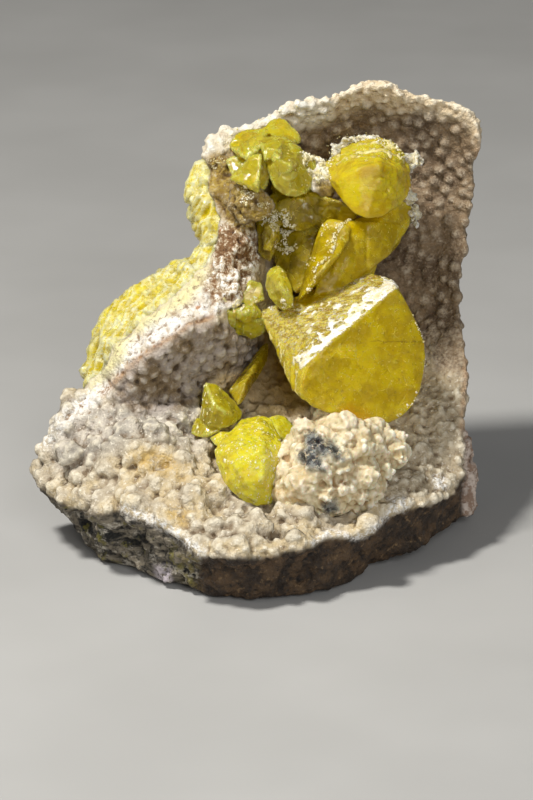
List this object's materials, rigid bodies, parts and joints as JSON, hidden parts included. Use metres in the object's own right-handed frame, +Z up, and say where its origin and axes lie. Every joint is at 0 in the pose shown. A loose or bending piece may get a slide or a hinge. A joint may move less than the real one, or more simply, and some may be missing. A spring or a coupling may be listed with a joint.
{
  "type": "native sulfur mineral specimen",
  "caption": "Free-standing mineral specimen: yellow translucent native sulfur crystals in a vug lined with cream calcite druse on brown limestone, with a flat base to rest on.",
  "frame": {"origin": "middle of the specimen's bounding box, on the plane of the flat base it stands on", "axes": "+Z up, +X to the right seen from the crystal side, -Y the side the crystals face"},
  "size_m": [0.0698, 0.062, 0.0675],
  "materials": {
    "limestone": "rough broken limestone crusted with sugary cream druse",
    "calcite": "waxy cream botryoidal calcite",
    "sulfur": "resinous, translucent golden yellow crystal",
    "sulfur_pale": "pale yellow, etched, translucent crystal",
    "sulfur_dark": "dark olive, translucent crystal over shadowed rock"
  },
  "bodies": {
    "root": {"matrix": "limestone", "calcite_knob": "calcite", "sulfur_main": "sulfur", "sulfur_upper": "sulfur", "sulfur_upper_left": "sulfur", "sulfur_wing": "sulfur_pale", "sulfur_plate": "sulfur_dark", "sulfur_tip": "sulfur_pale", "sulfur_under_ridge": "sulfur", "sulfur_stick": "sulfur_dark", "sulfur_small_left": "sulfur", "sulfur_bright": "sulfur", "sulfur_behind": "sulfur", "sulfur_left": "sulfur_pale"}
  },
  "joints": []
}
